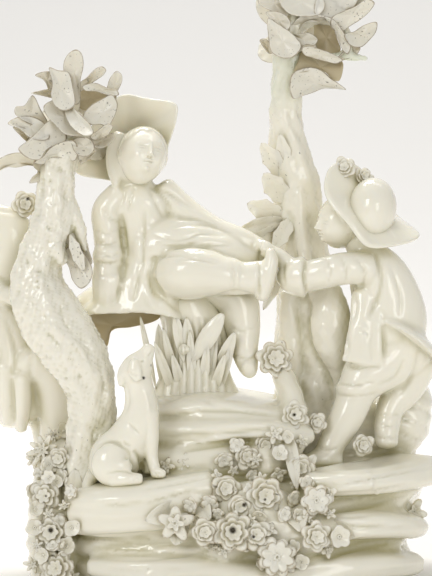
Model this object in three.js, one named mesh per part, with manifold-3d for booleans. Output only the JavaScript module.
// A porcelain figure group fired in one piece: a seated girl between two trees, a boy who takes her hand,
// a child behind the left tree and a sitting hound, on a mound of layered rock set with flowers.
// Millimetres, +Z up, the front towards -Y, the origin under the middle of the mound.
import * as THREE from 'three';
import { mergeVertices } from 'three/addons/utils/BufferGeometryUtils.js';
import Module from 'manifold-3d';

// Driving dimensions
const FLOOR = 12; // height of the underside in the composing plane
const MIDDLE = { x: 2.92, y: -6.42 }; // middle of the group in the composing plane and in depth
const EYE = new THREE.Vector3(10.75, -1193, 260); // where the group is looked at from
const HEAD = 12.5; // half height of a child's head
const LEAF_THICK = 2.2;
const SPLINTER = 0.4; // how far a face may shift where the joins are drawn together
const LIMB_SIDES = 7;
const TRUNK_SIDES = 10;
const MOUND_SIDES = 30;

// Places are given as they are seen from the eye: x and z on the upright plane through the middle, and the
// depth y behind it. Each slides along its line of sight to its own depth.
function at(x, z, y = 0) {
  const along = 1 - y / EYE.y;
  return new THREE.Vector3(
    EYE.x + along * (x - EYE.x) - MIDDLE.x,
    y - MIDDLE.y,
    EYE.z + along * (z - EYE.z) - FLOOR,
  );
}

// A closed skin through rings of equally many points, with a pole at each end.
function loft(rings, startPole, endPole) {
  const sides = rings[0].length;
  const middle = (ring) => ring.reduce((sum, p) => sum.add(p), new THREE.Vector3()).divideScalar(sides);
  const points = [startPole ?? middle(rings[0]), ...rings.flat(), endPole ?? middle(rings.at(-1))];
  const id = (ring, side) => 1 + ring * sides + (side % sides);
  const faces = [];
  for (let s = 0; s < sides; s++) {
    faces.push([0, id(0, s + 1), id(0, s)]);
    faces.push([points.length - 1, id(rings.length - 1, s), id(rings.length - 1, s + 1)]);
    for (let r = 0; r + 1 < rings.length; r++) {
      faces.push([id(r, s), id(r, s + 1), id(r + 1, s + 1)]);
      faces.push([id(r, s), id(r + 1, s + 1), id(r + 1, s)]);
    }
  }
  return { points, faces };
}

// A limb: an oval section carried along a smooth line. Each station is [x, z, y, half width, half depth].
function limb(stations, { sides = LIMB_SIDES, steps = stations.length - 1, front = [0, 1, 0] } = {}) {
  const line = new THREE.CatmullRomCurve3(stations.map(([x, z, y]) => at(x, z, y)), false, 'centripetal');
  const size = (t) => {
    const place = t * (stations.length - 1);
    const k = Math.min(stations.length - 2, Math.floor(place));
    const blend = THREE.MathUtils.smoothstep(place - k, 0, 1);
    const [a, b] = [stations[k], stations[k + 1]];
    const depth = (s) => s[4] ?? s[3];
    return [a[3] + (b[3] - a[3]) * blend, depth(a) + (depth(b) - depth(a)) * blend];
  };
  const rings = [];
  const ring = (t, shrink, push) => {
    const tangent = line.getTangent(t);
    const across = new THREE.Vector3(...front).cross(tangent).normalize();
    const deep = tangent.clone().cross(across);
    const [w, d] = size(t);
    const centre = line.getPoint(t).addScaledVector(tangent, push * Math.min(w, d));
    return Array.from({ length: sides }, (_, s) => {
      const a = (2 * Math.PI * s) / sides;
      return centre.clone()
        .addScaledVector(across, shrink * w * Math.cos(a))
        .addScaledVector(deep, shrink * d * Math.sin(a));
    });
  };
  for (let s = 0; s <= steps; s++) rings.push(ring(s / steps, 1, 0));
  return loft(rings, ring(0, 0, -0.4)[0], ring(1, 0, 0.5)[0]);
}

// A ball with three half sizes, rolled by tilt in the plane of sight.
function ball(x, z, y, [rx, rz, ry], tilt = 0, { sides = LIMB_SIDES, rings = 5 } = {}) {
  const centre = at(x, z, y);
  const turn = (p) => p.applyAxisAngle(new THREE.Vector3(0, -1, 0), tilt).add(centre);
  const layers = Array.from({ length: rings }, (_, r) => {
    const up = (Math.PI * (r + 1)) / (rings + 1);
    return Array.from({ length: sides }, (_, s) => {
      const a = (2 * Math.PI * s) / sides;
      return turn(new THREE.Vector3(
        rx * Math.sin(up) * Math.cos(a), ry * Math.sin(up) * Math.sin(a), -rz * Math.cos(up)));
    });
  });
  return loft(layers, turn(new THREE.Vector3(0, 0, -rz)), turn(new THREE.Vector3(0, 0, rz)));
}

// A leaf: a thin blade from base to tip, arched along its face, with its edges cupped.
function leaf(base, tip, half, { arch = 0, cup = 0.3, face = [0, -1, 0], stations = 2, thick = LEAF_THICK } = {}) {
  const [from, to] = [at(...base), at(...tip)];
  const run = to.clone().sub(from);
  const across = run.clone().cross(new THREE.Vector3(...face)).normalize();
  const out = across.clone().cross(run).normalize();
  const rings = Array.from({ length: stations }, (_, k) => {
    const t = (k + 0.6) / (stations + 0.1);
    const wide = half * Math.sin(Math.PI * t ** 1.15) ** 0.6;
    const middle = from.clone().addScaledVector(run, t).addScaledVector(out, arch * 4 * t * (1 - t));
    const lift = cup * wide;
    return [
      middle.clone().addScaledVector(out, thick / 2),
      middle.clone().addScaledVector(across, wide).addScaledVector(out, lift),
      middle.clone().addScaledVector(out, -thick / 2),
      middle.clone().addScaledVector(across, -wide).addScaledVector(out, lift),
    ];
  });
  return loft(rings, from, to);
}

// A flower: a scalloped disc of petals with a sunk heart, facing the given way.
function flower(x, z, y, radius, { petals = 5, way = [0, -1, 0.15], deep = 0.9 } = {}) {
  const centre = at(x, z, y);
  const out = new THREE.Vector3(...way).normalize();
  const side = new THREE.Vector3(0, 0, 1).cross(out).normalize();
  const up = out.clone().cross(side);
  const count = 2 * petals;
  const ring = (share, push, scallop) => Array.from({ length: count }, (_, s) => {
    const a = (2 * Math.PI * s) / count;
    const r = radius * share * (s % 2 ? 1 - scallop : 1);
    return centre.clone()
      .addScaledVector(side, r * Math.cos(a))
      .addScaledVector(up, r * Math.sin(a))
      .addScaledVector(out, push * radius);
  });
  const pole = (push) => centre.clone().addScaledVector(out, push * radius);
  return loft([ring(1, 0, 0.22), ring(0.5, 0.35, 0)], pole(-deep), pole(0.1));
}

// A sheet of cloth or a hat brim: an outline of places, dished away from its middle, with a true thickness.
function sheet(outline, middle, thick, way = [0, 1, 0]) {
  const back = new THREE.Vector3(...way).normalize().multiplyScalar(thick);
  const line = new THREE.CatmullRomCurve3(outline.map((p) => at(...p)), true, 'centripetal');
  const edge = line.getPoints(2 * outline.length).slice(0, -1);
  const heart = at(...middle);
  const half = edge.map((p) => p.clone().lerp(heart, 0.45));
  const dish = back.clone().normalize().multiplyScalar(thick);
  const moved = (ring, by) => ring.map((p) => p.clone().add(by));
  return loft([moved(half, dish), edge, moved(edge, back), moved(half, back.clone().add(dish))],
    heart.clone().addScaledVector(dish, 1.3), heart.clone().add(back).addScaledVector(dish, 1.3));
}


// The mound: stacked oval layers of rock, each ledge standing out over a groove, rising to the right.
// Each layer is [height, half width, half depth, middle x, middle y].
const LAYERS = [
  [0, 75, 51, 15, -1], [5, 78, 54, 15, -2], [11, 79, 56, 15, -2], [14, 75, 51, 16, -1],
  [18, 79, 56, 17, -2], [24, 81, 58, 17, -2], [28, 76, 53, 18, -1], [33, 80, 57, 20, -1],
  [41, 82, 56, 21, 0], [45, 77, 51, 21, 1], [50, 78, 48, 21, 3], [54, 74, 42, 20, 6],
];
function mound() {
  const wobble = (a, k) => 1 + 0.018 * Math.sin(3 * a + 0.9 * k) + 0.014 * Math.sin(7 * a - 1.7 * k);
  const rings = LAYERS.map(([z, wide, deep, cx, cy], k) =>
    Array.from({ length: MOUND_SIDES }, (_, s) => {
      const a = (2 * Math.PI * s) / MOUND_SIDES;
      const grow = k ? wobble(a, k) : 1;
      const lift = (z / 50) * (5 * Math.cos(a) + 1.6 * Math.sin(2 * a + 0.6));
      const square = (v) => Math.sign(v) * Math.abs(v) ** 0.85;
      return new THREE.Vector3(
        cx + wide * grow * square(Math.cos(a)) - MIDDLE.x,
        cy + deep * grow * square(Math.sin(a)) - MIDDLE.y,
        z + lift,
      );
    }));
  return loft(rings);
}

// Ledges of rock on the mound: flat slabs run along a line, thick at the back.
function ledges() {
  return [
    limb([[-18, 84, 2, 6, 24], [5, 82, 0, 10, 30], [30, 80, 2, 10, 30], [52, 76, 8, 8, 26]], { sides: 10 }),
    limb([[-20, 68, -12, 7, 24], [5, 66, -12, 9, 26], [35, 66, -8, 9, 28], [60, 64, -2, 8, 28]], { sides: 10 }),
    limb([[-62, 62, 4, 10, 24], [-48, 66, 2, 12, 28], [-25, 70, 6, 10, 26]], { sides: 10 }),
    limb([[-50, 36, -36, 9, 14], [-35, 39, -42, 10.5, 15], [-12, 41, -44, 10, 14], [6, 46, -40, 8, 12]], { sides: 10 }),
    limb([[62, 34, -38, 8, 18], [79, 35, -30, 9, 20], [90, 37, -16, 6, 18]], { sides: 10 }),
    limb([[-2, 10, -44, 7, 14], [20, 9, -50, 7, 12], [48, 12, -46, 8, 14]], { sides: 10 }),
    limb([[86, 58, -6, 8, 30], [92, 72, 4, 14, 22], [94, 88, 12, 10, 14], [94, 98, 14, 5, 7]], { sides: 10 }),
  ];
}

function leftTree() {
  const trunk = limb([
    [-46, 54, -28, 11, 12], [-45, 72, -28, 8.5], [-43.5, 90, -26, 10.5], [-50, 106, -23, 13, 12],
    [-60, 121, -18, 14, 12], [-66, 134, -15, 12, 11], [-65, 147, -13, 9.5], [-60, 160, -12, 9.5],
    [-58, 174, -11, 8, 8.5], [-57, 188, -10, 8], [-54, 200, -8, 9], [-51, 208, -6, 6],
  ], { sides: TRUNK_SIDES, steps: 12 });
  const root = limb([[-38, 94, -24, 3, 5], [-36, 80, -26, 4, 6], [-40, 62, -30, 5, 8]]);
  const spray = [
    leaf([-52, 172, -14], [-42, 147, -13], 4, { arch: 2 }),
    leaf([-54, 164, -15], [-47, 135, -14], 6, { arch: 3 }),
    leaf([-50, 160, -13], [-40, 143, -9], 4),
  ];
  const crown = [
    leaf([-48, 208, -8], [-48, 236, -6], 5, { arch: 1 }),
    leaf([-55, 206, -10], [-57, 229, -14], 6.5, { cup: 0.5 }),
    leaf([-54, 209, -9], [-67, 226, -16], 3.5),
    leaf([-53, 209, -7], [-68, 218, -6], 2.6),
    leaf([-51, 206, -6], [-36, 229, -2], 3.2, { cup: 0.1 }),
    leaf([-50, 200, -9], [-30, 227, -14], 4.4, { cup: 0.4 }),
    leaf([-60, 200, -10], [-67.5, 217, -10], 5.5),
    leaf([-58, 200, -12], [-78, 206, -14], 6, { cup: 0.5 }),
    leaf([-60, 197, -10], [-76, 211, -6], 4.5),
    leaf([-60, 196, -12], [-75, 203, -10], 3.6),
    leaf([-47, 197, -11], [-60, 215, -18], 7.5, { cup: -0.2 }),
    leaf([-50, 195, -11], [-73, 194, -22], 8, { arch: 2, cup: -0.3 }),
    leaf([-50, 192, -11], [-66, 188, -22], 6, { arch: 5, cup: -0.4 }),
    leaf([-55, 189, -12], [-42, 199, -22], 5),
    leaf([-52, 197, -9], [-32, 204, -18], 4.6, { cup: 0.5 }),
    leaf([-51, 199, -8], [-33, 212, -16], 7, { cup: 0.4 }),
    leaf([-52, 202, -5], [-35, 219, 2], 5.5),
    leaf([-64, 188, -8], [-84, 186, -6], 4, { arch: 3, face: [0, -0.4, 1] }),
    leaf([-62, 182, -14], [-68, 180, -16], 2.6),
    leaf([-52, 198, -2], [-62, 212, 12], 7),
    leaf([-50, 200, -2], [-44, 218, 12], 7),
    leaf([-54, 192, -2], [-66, 196, 12], 7),
    leaf([-48, 192, -2], [-38, 198, 12], 7),
  ];
  return [trunk, root, ...spray, ...crown];
}

function centralTree() {
  const trunk = limb([
    [52, 50, 20, 16, 16], [52, 84, 20, 16, 15], [52, 112, 20, 16, 14], [50, 136, 20, 13.5, 12],
    [47, 158, 20, 10.5, 10], [45, 178, 19, 10.5, 9], [42, 194, 18, 8.5, 8], [40.5, 208, 17, 7, 7],
    [41, 224, 16, 6.5, 6.5], [41.5, 240, 15, 6, 6], [46, 256, 15, 6, 6], [50, 264, 15, 4, 4],
  ], { sides: TRUNK_SIDES, steps: 12 });
  const roots = [
    limb([[57, 128, 8, 4, 4], [59, 115, 7, 8, 7], [61, 100, 9, 6, 6], [62, 84, 12, 5, 6]]),
    limb([[42, 132, 10, 4, 4], [43, 108, 10, 6, 6], [42, 80, 12, 7, 7]]),
  ];
  const ivy = [
    leaf([42, 180, 15], [30, 197, 8], 4.6), leaf([42, 180, 15], [38, 201, 8], 3.6),
    leaf([42, 171, 15], [31, 184, 5], 5.4), leaf([42, 164, 15], [24, 171, 8], 5.4),
    leaf([42, 164, 15], [21, 160, 4], 3.4, { cup: 0.6 }), leaf([44, 166, 14], [35, 151, 4], 4),
    leaf([42, 160, 15], [24, 155, 2], 4), leaf([43, 153, 16], [31, 125, 0], 3),
  ];
  const crown = [
    leaf([41, 228, 12], [41, 246, 6], 6.5, { cup: 0.4 }), leaf([42, 240, 12], [32, 254, 4], 4.2),
    leaf([40, 235, 13], [30, 240.5, 8], 2.8), leaf([42, 242, 12], [57, 251, 8], 4, { arch: 3, cup: 0.1 }),
    leaf([65, 233, 11], [56, 251, 14], 6.5), leaf([67, 234, 9], [58, 251, 6], 3.2),
    leaf([66, 233, 9], [47, 238, 4], 4.2, { arch: 2 }), leaf([42, 227, 12], [65, 228, 8], 4.5),
    leaf([41, 221, 12], [66, 219.5, 4], 5.6, { arch: 4, cup: -0.3 }), leaf([64, 235, 10], [79, 245, 8], 5),
    leaf([58, 243, 12], [77, 257, 10], 5), leaf([52, 250, 12], [74, 265, 8], 6.5),
    leaf([44, 248, 10], [29, 257, 4], 6), leaf([46, 254, 12], [38, 272, 8], 6.5),
    leaf([48, 256, 14], [54, 275, 10], 7), leaf([50, 254, 18], [66, 270, 22], 6.5),
    leaf([42, 244, 20], [30, 262, 28], 7), leaf([44, 238, 20], [52, 256, 34], 7.5),
    leaf([44, 232, 20], [58, 238, 34], 7), leaf([40, 232, 20], [28, 240, 30], 6.5),
    leaf([47, 250, 18], [48, 268, 32], 7), leaf([43, 230, 16], [70, 240, 26], 6.5),
  ];
  const twigs = [
    limb([[43, 234, 13, 2.4], [54, 232, 12, 2.2], [65, 234, 10, 2], [75, 233, 8, 1.2]], { sides: 6 }),
    limb([[45, 246, 14, 2.6], [56, 250, 13, 2.6], [66, 244, 10, 2.2], [67, 234, 9, 2]], { sides: 6 }),
  ];
  return [trunk, ...roots, ...ivy, ...crown, ...twigs];
}

function girl() {
  const body = [
    ball(-21.5, 191.5, -2, [HEAD + 0.8, HEAD + 0.5, HEAD], 0.15, { sides: 12, rings: 7 }),
    ball(-27, 190, 3, [9, 11, 10], 0.1),
    limb([[-22, 184, 4, 5], [-22, 176, 4, 6]]),
    limb([[-23, 180, 4, 7, 7], [-23, 173, 4, 14, 10], [-20, 162, 4, 12, 10], [-18, 150, 4, 13, 12],
      [-16, 140, 2, 16, 14]], { sides: 10 }),
  ];
  const hat = sheet([[-49, 185, 4], [-45, 198, 5], [-37, 211, 6], [-29, 217, 6], [-18, 215.5, 4],
    [-6.5, 213, 1], [-6.5, 207, 1], [-10, 196, 5], [-14, 184, 7], [-26, 180, 9], [-36, 181.5, 7]],
  [-26, 198, 7], 3);
  const arms = [
    limb([[-31, 176, 2, 5, 6], [-36, 168, 1, 6.5, 7], [-36, 158, -1, 6, 6.5], [-35, 149, -3, 6.2, 6]]),
    limb([[-35, 149.5, -3, 6.6, 6.6], [-35.5, 146, -4, 6.6, 6.6]], { steps: 1 }),
    limb([[-35.5, 147, -4, 5, 5], [-36.5, 140, -6, 7, 6], [-37, 132, -6, 6.4, 6], [-36, 127, -5, 4, 4]]),
    limb([[-12, 177, 5, 6, 7], [-3, 168, 4, 6.5, 7], [10, 160, 2, 5.5, 6.5], [22, 156, 0, 4.5, 5],
      [31, 152, 0, 3.5, 4]]),
  ];
  const lap = [
    limb([[-20, 150, 3, 13, 12], [-6, 152, 1, 14, 13], [10, 149, 0, 12, 12], [22, 147, 0, 9, 9],
      [30, 148, 0, 5, 5]], { sides: 10 }),
    limb([[-14, 140, -8, 8, 8], [-3, 140, -11, 10.5, 10], [8, 140, -13, 9.5, 9], [19, 139, -14, 7.5, 7]],
      { sides: 10 }),
    limb([[18, 138.5, -14, 7, 6.5], [25, 139, -14, 7, 6], [31, 140, -14, 6.5, 5.5]]),
    limb([[30, 130.5, -14, 3, 5], [32.5, 138, -14, 3.6, 5.5], [34.5, 147, -14, 3, 4.5], [34, 151, -14, 2, 3]]),
    limb([[8, 138, 2, 10, 10], [19, 130, 2, 9.5, 9], [22, 119, 0, 8, 8], [23, 108, -3, 6, 6],
      [24.5, 101, -6, 4.5, 5.5], [25, 99, -10, 3, 4]]),
  ];
  const flaps = [
    leaf([-40, 126, 10], [-38, 107, 9], 7, { stations: 3 }),
    limb([[-32, 132, 4, 8, 10], [-42, 129, 5, 6, 9], [-52, 125, 5, 3, 6]]),
  ];
  return [...body, hat, ...arms, ...lap, ...flaps, skirt()];
}

// The skirt: a cloth bell from the waist down to a wavy hem, open below. One closed skin runs up its
// outside and down its inside.
function skirt() {
  const sides = 20;
  const waist = [-16, 146, 3];
  const levels = [[0, 13, 12], [0.35, 19, 14], [0.7, 25, 16], [1, 30, 18]];
  const ring = (t, wide, deep, wall) => Array.from({ length: sides }, (_, s) => {
    const a = (2 * Math.PI * s) / sides;
    const fold = 1 + 0.1 * t * Math.sin(5 * a + 1);
    const behind = Math.sin(a);
    const drop = t * (22 - 2.5 * Math.sin(3 * a) + 3 * behind);
    const stretch = Math.cos(a) < 0 ? 1.15 : 0.8;
    return at(waist[0] - 3 * t + (wide - wall) * stretch * fold * Math.cos(a), waist[1] - drop,
      waist[2] + (deep - wall) * fold * behind);
  });
  const outside = levels.map(([t, wide, deep]) => ring(t, wide, deep, 0));
  const inside = levels.slice(1).reverse().map(([t, wide, deep]) => ring(t, wide, deep, 3));
  return loft([...outside, ...inside], at(waist[0], waist[1] + 4, waist[2]), at(waist[0], 139, waist[2]));
}

function reeds() {
  const tuft = limb([[2, 84, 0, 22, 15], [2, 98, 0, 15, 12], [2, 112, 0, 14, 11], [-2, 126, 1, 12, 11],
    [-6, 138, 2, 10, 9]], { sides: 12 });
  const blade = (x, spread, top, y) =>
    leaf([x * 0.6 + 1, 88, y + 5], [x + spread, top, y - 1], 2.4, { cup: -0.3, arch: 1.5 });
  const blades = [-11, -6, -1, 4, 9, 14].map((x, k) => blade(x, (x - 2) * 0.25, 112 + 5 * Math.sin(2 * k), -11));
  return [
    tuft, ...blades,
    leaf([0, 102, -10], [14, 124, -13], 4, { arch: 2, cup: -0.2 }),
    leaf([-3, 102, -10], [-7, 124, -12], 2.4), leaf([0, 102, -10], [-2, 122, -12], 2.4),
    leaf([9, 92, -5], [19, 116, -11], 3),
    ball(-3, 108, -13, [2.6, 2.6, 3]),
    leaf([-15, 90, -4], [-22, 123, -6], 2, { cup: 0 }),
    leaf([-12, 90, -2], [-14, 119, -4], 2.4),
  ];
}

function boy() {
  const head = [
    ball(64, 164, -2, [10.5, HEAD, HEAD - 1], 0.1, { sides: 12, rings: 7 }),
    ball(78, 169, 2, [11, 12, 11.5], -0.3, { sides: 12, rings: 7 }),
    limb([[72, 156, 0, 7], [76, 149, 0, 8]]),
    sheet([[57, 177, -8], [60, 186, 0], [68, 186, 8], [80, 178, 16], [92, 166, 14], [97, 156, 4],
      [86, 151, -9], [75, 153, -15], [66, 163, -15]], [73, 168, 0], 2.8, [0.7, 0, 0.55]),
  ];
  const coat = [
    limb([[76, 150, 0, 8, 8], [79, 143, 0, 12, 12], [83, 133, 0, 14.5, 13], [85.5, 122, 0, 16, 14],
      [85, 114, 0, 16, 14]], { sides: 12 }),
    limb([[76, 143, -8, 7, 7], [66, 143, -11, 7, 6.5], [56, 141, -11, 6.8, 6.5], [48, 139, -9, 6.6, 6.4]]),
    limb([[48.5, 139.5, -9, 9, 8.5], [43, 139.5, -8, 7.6, 7.5], [38.5, 140.5, -7, 4.8, 5]]),
    limb([[42, 145, -7, 3.6, 4], [36, 149, -5, 4, 4], [31, 152, -3, 2.6, 3]]),
    leaf([71, 120, -13], [70, 101, -15], 6.5, { stations: 4 }),
    leaf([78, 121, -14], [79, 101, -16], 5, { stations: 4 }),
    limb([[84, 121, -6, 2.2, 8], [93, 116, -8, 2.6, 12], [104, 107, -6, 2.4, 13], [110, 101, -4, 1.6, 10]],
      { sides: 10 }),
  ];
  const legs = [
    limb([[93, 112, 0, 14, 14], [86, 106, -3, 14, 12], [76, 97, -8, 11, 10], [71, 90, -10, 8.5, 8.5]], { sides: 10 }),
    limb([[71, 92, -10, 8.8, 8.6], [71.5, 88, -10, 8.8, 8.6]], { steps: 1 }),
    limb([[71, 88, -10, 8], [67, 78, -12, 7.4], [61, 67, -14, 6], [58, 60, -15, 6]]),
    limb([[63, 59.5, -14, 4.5, 5.5], [56, 60, -16, 5, 5.5], [49.5, 59, -18, 3, 4]]),
    limb([[96, 104, 4, 11, 11], [92, 94, 2, 8, 8], [86, 82, -2, 5.6, 5.6], [85, 70, -6, 5.2, 5], [84.5, 64, -9, 4, 4.6]]),
  ];
  const posy = [
    flower(66, 186, 1, 5, { petals: 5, way: [-0.2, -1, 0.4] }),
    flower(73.5, 182, 3, 4.4, { petals: 5, way: [0.5, -1, 0.5] }),
  ];
  return [...head, ...coat, ...legs, ...posy];
}

function leftChild() {
  return [
    ball(-83, 152, 2, [18, 18.5, 8], -0.1, { sides: 12, rings: 5 }),
    ball(-80, 148, 12, [11, 12, 11]),
    limb([[-80, 140, 4, 8], [-80, 132, 6, 11, 10], [-80, 122, 8, 17, 14], [-79, 108, 9, 21, 17], [-77, 92, 8, 19, 17],
      [-73, 80, 6, 11, 13]], { sides: 12 }),
    limb([[-84, 131, 0, 5], [-74, 131.5, -6, 4.6], [-64, 133, -8, 4]]),
    limb([[-94, 128, 8, 5], [-100, 116, 2, 5.5], [-93, 106, -8, 5], [-86, 104, -9, 4]]),
    limb([[-80, 100, -4, 4, 6], [-80, 88, -4, 4, 6], [-79, 76, -3, 2.6, 4]]),
    limb([[-73, 96, -6, 4, 6], [-73, 84, -6, 4, 6], [-73.5, 73, -5, 2.4, 4]]),
    limb([[-70, 88, 4, 9, 10], [-62, 76, 6, 8, 9], [-58, 62, 8, 8, 9]]),
    limb([[-82, 92, 14, 8, 8], [-74, 74, 16, 6, 6], [-68, 60, 16, 6, 7]]),
    flower(-71, 170.5, 2, 6, { petals: 5, way: [0.1, -1, 0.2] }),
  ];
}

function hound() {
  const y = -42;
  const part = (stations, options) =>
    limb(stations.map(([x, z, dy, w, d]) => [x, z, y + dy, w, d]), options);
  return [
    part([[-24, 97, 0, 7, 6.5], [-21, 102, 0, 6.8, 6], [-18.5, 107, 0, 4.2, 4], [-17.5, 110, 0, 2.6, 2.6]]),
    part([[-23, 98, 0, 6.5, 6], [-21.5, 88, 0, 6.6, 6], [-22, 78, 0, 8, 7.5], [-27, 68, 1, 9.5, 8.5],
      [-33, 60, 2, 11, 9.5], [-36, 54, 2, 9, 9]], { sides: 10 }),
    part([[-19, 80, -2, 5, 5], [-17.5, 70, -3, 3.6, 3.6], [-17, 61, -3, 2.8, 3], [-15, 55, -4, 3, 3]]),
    part([[-20, 78, 4, 5, 5], [-19.5, 66, 4, 3.2, 3.2], [-18.5, 55, 3, 2.8, 3]], { sides: 7 }),
    part([[-33, 64, -5, 6, 5], [-33, 58, -6, 9, 5], [-31, 53, -6, 7.5, 5]]),
    part([[-34, 51, -7, 3.4, 3.4], [-27, 51.5, -9, 3, 3.2], [-22, 51.5, -9, 2.4, 2.6]], { sides: 7 }),
    part([[-24, 103, -5, 2, 2], [-23.5, 97, -7, 3, 1.8], [-22.5, 94.5, -7, 2, 1.4]], { sides: 6 }),
    part([[-28, 102, 0, 1.6, 2], [-29, 97, -1, 2, 3], [-28.5, 93, -2, 1.4, 2]], { sides: 6 }),
    part([[-42, 54, 4, 3.5, 4], [-45, 48, 0, 2.8, 2.8], [-43, 42, -5, 2.4, 2.6], [-38, 40, -8, 1.8, 2]], { sides: 6 }),
  ];
}

// The bank of flowers and leaves on the front of the mound: [x, z, y, radius, petals].
const BLOOMS = [
  [36, 104, -6, 8, 7], [44.5, 79.5, -26, 6, 6], [54, 76, -20, 4.6, 5], [32, 66, -34, 5.5, 5],
  [24, 61, -38, 5.5, 5], [15, 47, -52, 6.5, 5], [21, 39, -58, 6, 5], [32, 44, -56, 8, 6],
  [18, 28, -64, 8.5, 7], [28, 27, -64, 6.5, 5], [37, 17, -66, 8.5, 8], [54, 42, -57, 6.5, 6],
  [54, 26, -63, 6.5, 6], [64, 26, -62, 4.5, 5], [-7, 32, -62, 8, 5], [6, 28, -65, 6, 5],
  [-11, 57, -39, 3.8, 5], [-2, 58.5, -37, 4.4, 5], [-64, 64, -26, 7, 8], [-57, 60, -32, 5.5, 6],
  [-63, 44, -38, 7, 6], [-60, 28, -42, 8, 7], [-58, 12, -46, 8, 7], [96, 37, -22, 6.5, 5],
  [74, 66, -17, 5, 5], [47, 56, -40, 6, 5],
];
function bank() {
  const heap = [
    limb([[10, 24, -48, 12, 14], [26, 34, -46, 16, 16], [42, 27, -46, 14, 16], [60, 30, -45, 11, 16]], { sides: 10 }),
    limb([[28, 58, -30, 10, 12], [40, 66, -22, 10, 12], [44, 82, -14, 8, 10], [40, 96, -2, 7, 8]], { sides: 10 }),
    limb([[-60, 6, -34, 9, 12], [-61, 26, -32, 10, 12], [-61, 46, -26, 9, 12], [-60, 60, -20, 7, 10]], { sides: 10 }),
  ];
  const blooms = BLOOMS.map(([x, z, y, radius, petals]) => flower(x, z, y, radius, { petals, way: [x * 0.004, -1, 0.2] }));
  const leaves = [
    leaf([44, 42, -50], [48, 28, -65], 5), leaf([46, 46, -50], [42, 72, -30], 3),
    leaf([44, 50, -42], [54, 62, -36], 3.4), leaf([58, 32, -52], [71, 26, -60], 4),
    leaf([-2, 41, -52], [-20, 33, -61], 4.4), leaf([-4, 39, -52], [-7, 22, -64], 4.6),
    leaf([2, 44, -50], [8, 33, -62], 4.6), leaf([-52, 36, -38], [-50, 56, -38], 4.5),
  ];
  return [...heap, ...blooms, ...leaves];
}

const wasm = await Module();
wasm.setup();

function solid({ points, faces }) {
  const volume = faces.reduce((sum, [a, b, c]) =>
    sum + points[a].dot(points[b].clone().cross(points[c])), 0);
  const turned = volume > 0 ? faces : faces.map(([a, b, c]) => [a, c, b]);
  return new wasm.Manifold(new wasm.Mesh({
    numProp: 3,
    vertProperties: Float32Array.from(points.flatMap((p) => p.toArray())),
    triVerts: Uint32Array.from(turned.flat()),
  }));
}

function solidOf(geometry) {
  geometry.deleteAttribute('normal');
  geometry.deleteAttribute('uv');
  const merged = mergeVertices(geometry);
  const { position } = merged.attributes;
  const points = Array.from({ length: position.count }, (_, k) => new THREE.Vector3().fromBufferAttribute(position, k));
  const faces = Array.from({ length: merged.index.count / 3 }, (_, k) => [...merged.index.array.subarray(3 * k, 3 * k + 3)]);
  return solid({ points, faces });
}

// The joined skin with the splinters of its joins drawn together: a corner moves onto a neighbour where no face
// around it shifts by more than the slack, none turns over, and the skin stays closed.
function drawnTogether(joined, slack) {
  const { vertProperties, triVerts } = joined.getMesh();
  const places = Array.from({ length: vertProperties.length / 3 }, (_, k) =>
    new THREE.Vector3().fromArray(vertProperties, 3 * k));
  const faces = Array.from({ length: triVerts.length / 3 }, (_, k) => [...triVerts.subarray(3 * k, 3 * k + 3)]);
  const around = places.map(() => new Set());
  faces.forEach((face, f) => face.forEach((v) => around[v].add(f)));
  const normal = (corners) => {
    const [a, b, c] = corners.map((v) => places[v]);
    return b.clone().sub(a).cross(c.clone().sub(a));
  };
  const neighbours = (v) => new Set([...around[v]].flatMap((f) => faces[f]).filter((w) => w !== v));
  const shift = (v, w) => {
    const step = places[w].clone().sub(places[v]);
    return Math.max(...[...around[v]].map((f) => {
      const n = normal(faces[f]);
      return n.lengthSq() > 1e-12 ? Math.abs(n.normalize().dot(step)) : 0;
    }));
  };
  const allowed = (v, w) => {
    const shared = [...neighbours(v)].filter((x) => neighbours(w).has(x));
    return shared.length === 2 && [...around[v]].every((f) => {
      if (faces[f].includes(w)) return true;
      const before = normal(faces[f]);
      const after = normal(faces[f].map((x) => (x === v ? w : x)));
      return after.length() > 0.02 && (before.length() < 0.02 || before.normalize().dot(after.normalize()) > 0.6);
    });
  };
  const merge = (v, w) => {
    for (const f of [...around[v]]) {
      if (faces[f].includes(w)) faces[f].forEach((x) => around[x].delete(f));
      else {
        faces[f] = faces[f].map((x) => (x === v ? w : x));
        around[w].add(f);
      }
    }
    around[v].clear();
  };
  for (const share of [0.1, 0.3, 0.6, 1]) {
    for (let v = 0; v < places.length; v++) {
      if (!around[v].size) continue;
      const ranked = [...neighbours(v)].map((w) => [shift(v, w), w]).sort((a, b) => a[0] - b[0]);
      const target = ranked.find(([cost, w]) => cost < share * slack && allowed(v, w));
      if (target) merge(v, target[1]);
    }
  }
  const kept = faces.filter((face, f) => around[face[0]].has(f));
  return solid({ points: places, faces: kept });
}

function geometryOf(joined) {
  const mesh = joined.getMesh();
  const geometry = new THREE.BufferGeometry();
  geometry.setAttribute('position', new THREE.BufferAttribute(mesh.vertProperties, 3));
  geometry.setIndex(new THREE.BufferAttribute(mesh.triVerts, 1));
  geometry.computeVertexNormals();
  return geometry;
}

const parts = [mound(), ...ledges(), ...leftTree(), ...centralTree(), ...girl(), ...reeds(), ...boy(),
  ...leftChild(), ...hound(), ...bank()];
const ground = new THREE.BoxGeometry(400, 400, 100).translate(0, 0, -50);
const whole = parts.map(solid).reduce((sum, piece) => sum.add(piece)).subtract(solidOf(ground));
const joined = drawnTogether(whole, SPLINTER);

const porcelain = new THREE.MeshStandardMaterial({ color: 0xf0ecde, roughness: 0.14, metalness: 0 });
const group = new THREE.Group();
const figures = new THREE.Mesh(geometryOf(joined), porcelain);
figures.name = 'figure_group';
group.add(figures);

export default group;
